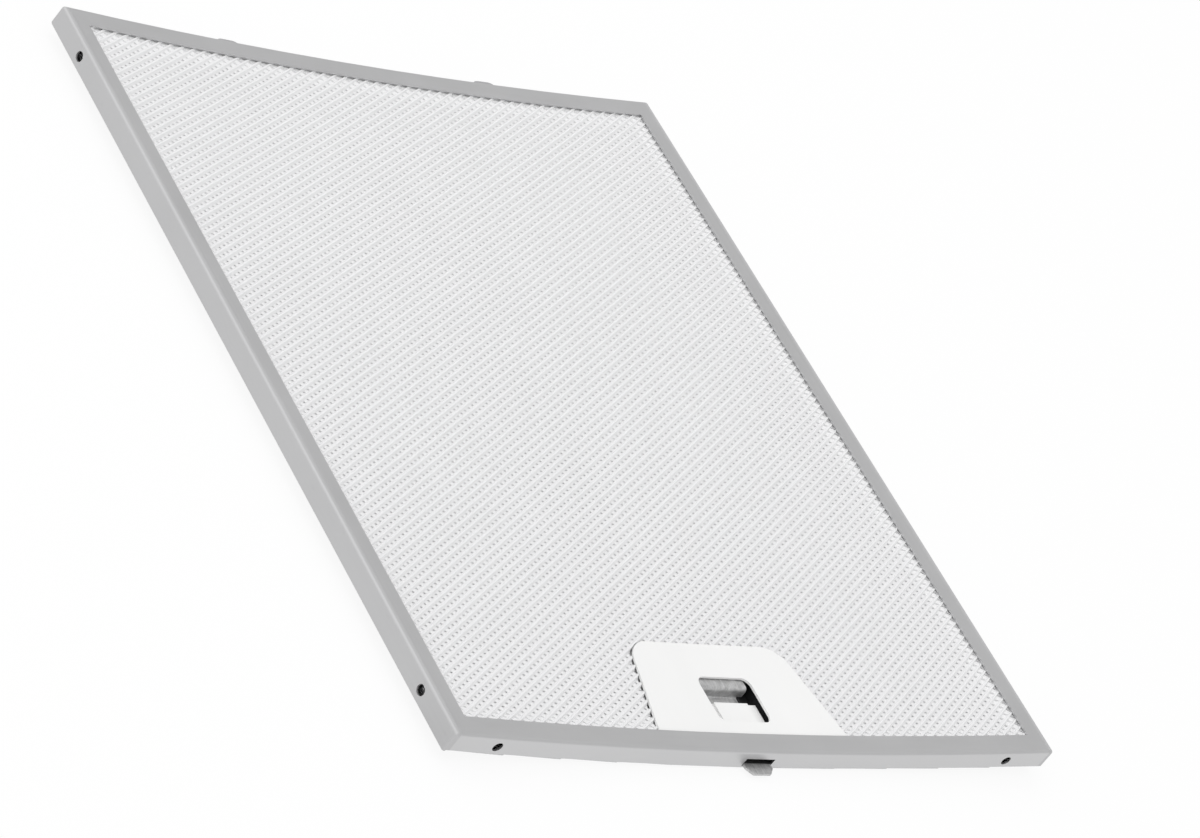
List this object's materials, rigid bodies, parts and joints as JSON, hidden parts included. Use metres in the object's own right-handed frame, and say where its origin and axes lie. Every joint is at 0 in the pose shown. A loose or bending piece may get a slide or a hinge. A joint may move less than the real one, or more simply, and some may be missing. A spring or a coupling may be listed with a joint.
{
  "type": "cooker hood grease filter",
  "caption": "Rectangular aluminium mesh grease filter in a folded frame, slightly bowed, with a sprung latch in one short edge and locating tabs in the other.",
  "frame": {"origin": "middle of the panel in plan, at the lowest line of its bowed back", "axes": "+X across the panel, +Y along it away from the latch, +Z out of its front"},
  "size_m": [0.2678, 0.313, 0.0122],
  "materials": {
    "aluminium_sheet": "satin rolled sheet",
    "aluminium_mesh": "bright expanded sheet",
    "aluminium_foil": "bright crimped foil",
    "pale_plastic": "satin moulded",
    "dark_plastic": "satin moulded",
    "steel": "zinc plated strip and wire"
  },
  "bodies": {
    "filter": {"frame": "aluminium_sheet", "front_mesh": "aluminium_mesh", "rear_mesh": "aluminium_mesh", "latch_plate": "pale_plastic", "latch_housing": "dark_plastic", "latch_spring": "steel", "locating_tab_left": "steel", "locating_tab_right": "steel", "filter_layer_1": "aluminium_foil", "filter_layer_2": "aluminium_foil", "filter_layer_3": "aluminium_foil", "filter_layer_4": "aluminium_foil"},
    "latch": {"latch_tongue": "steel"}
  },
  "joints": [
    {"name": "latch_slide", "type": "slide", "parent": "filter", "child": "latch", "axis": [0, 1, 0], "range_m": [0, 0.006], "stiffness_N_per_m": 300, "springref_m": -0.004, "deforming": ["latch_spring"]}
  ]
}
